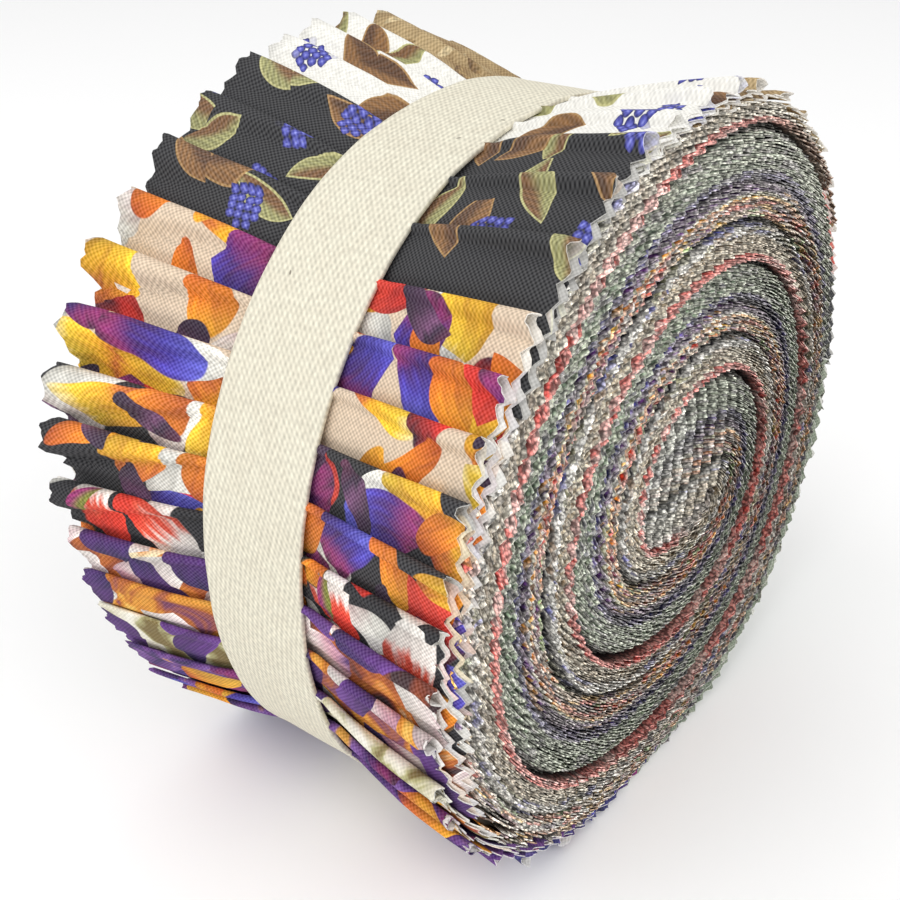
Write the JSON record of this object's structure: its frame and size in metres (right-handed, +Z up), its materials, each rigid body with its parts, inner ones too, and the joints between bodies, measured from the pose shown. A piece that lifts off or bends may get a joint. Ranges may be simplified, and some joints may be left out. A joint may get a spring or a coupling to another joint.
{
  "type": "fabric strip roll",
  "caption": "Roll of folded, pinked cotton fabric strips, wound in one stack and held at its waist by a woven tape band, standing on its curved side.",
  "frame": {"origin": "on the floor, under the middle of the roll: the bottom centre of its box, on the flat spot", "axes": "+Z up. X runs along the roll's axis, the short way, and +X is the spiral face seen in the picture. -Y is the side of the curved surface that the picture shows."},
  "size_m": [0.0636, 0.113, 0.1093],
  "materials": {
    "printed_cotton": "plain-weave quilting cotton with bright prints, matt, pinked along both edges",
    "cotton_tape": "natural cream cotton tape with a fine ribbed weave, matt"
  },
  "bodies": {
    "root": {"roll": "printed_cotton", "band": "cotton_tape"}
  },
  "joints": []
}
